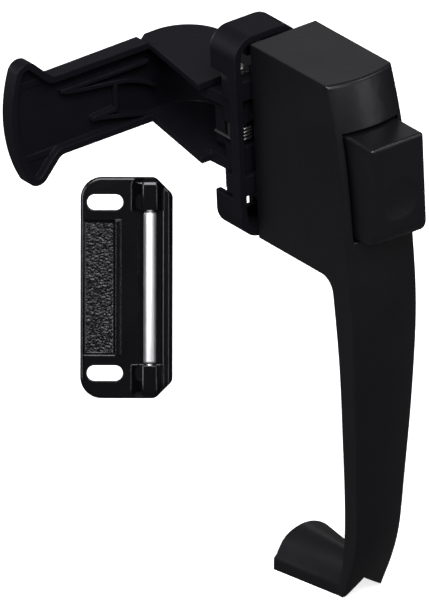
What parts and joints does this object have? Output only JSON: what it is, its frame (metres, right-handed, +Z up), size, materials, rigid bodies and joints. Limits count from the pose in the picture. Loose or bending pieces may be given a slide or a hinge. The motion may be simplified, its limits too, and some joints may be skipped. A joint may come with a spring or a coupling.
{
  "type": "push-button door latch",
  "caption": "Push-button latch with a bowed pull handle, an inside paddle lever with latch nose, and a strike with a round bar.",
  "frame": {"origin": "on the door's outer face, midway between the two mounting screws, on the axis of the push button", "axes": "+X along the door towards the strike jamb, +Y through the door into the room, +Z up"},
  "size_m": [0.0912, 0.0969, 0.1556],
  "materials": {
    "black_satin": "satin black paint on a die casting",
    "black_case": "black paint, slightly duller, on the inside castings",
    "black_gloss": "gloss black paint, with a pebbled pocket",
    "black_screw": "black oxide on steel screws",
    "bright_bar": "bright plated round bar",
    "plated_steel": "zinc plated steel",
    "spring_steel": "oiled spring steel"
  },
  "bodies": {
    "frame": {"pull_handle": "black_satin", "spring_plate": "plated_steel", "plate_screw_upper": "plated_steel", "plate_screw_lower": "plated_steel", "inside_case": "black_case", "pivot_pin": "plated_steel", "pin_ring_upper": "spring_steel", "pin_ring_lower": "spring_steel", "button_spring": "spring_steel", "lever_spring": "spring_steel", "mounting_screw_upper": "black_screw", "mounting_screw_lower": "black_screw", "strike_plate": "black_gloss", "strike_bar": "bright_bar"},
    "button": {"push_button": "black_satin", "button_stem": "plated_steel", "stem_ring": "spring_steel"},
    "lever": {"inside_lever": "black_case"}
  },
  "joints": [
    {"name": "lever_pivot", "type": "hinge", "parent": "frame", "child": "lever", "pos_m": [-0.0092, 0.008, 0], "axis": [0, 0, 1], "range_deg": [0, 25], "stiffness_Nm_per_rad": 0.15, "springref_deg": -20.05, "deforming": ["lever_spring"]},
    {"name": "button_slide", "type": "slide", "parent": "frame", "child": "button", "axis": [0, 1, 0], "range_m": [0, 0.004], "stiffness_N_per_m": 500, "springref_m": -0.006, "deforming": ["button_spring"]}
  ],
  "couplings": [
    {"joint": "button_slide", "follows": "lever_pivot", "m_per_rad": 0.0083}
  ]
}
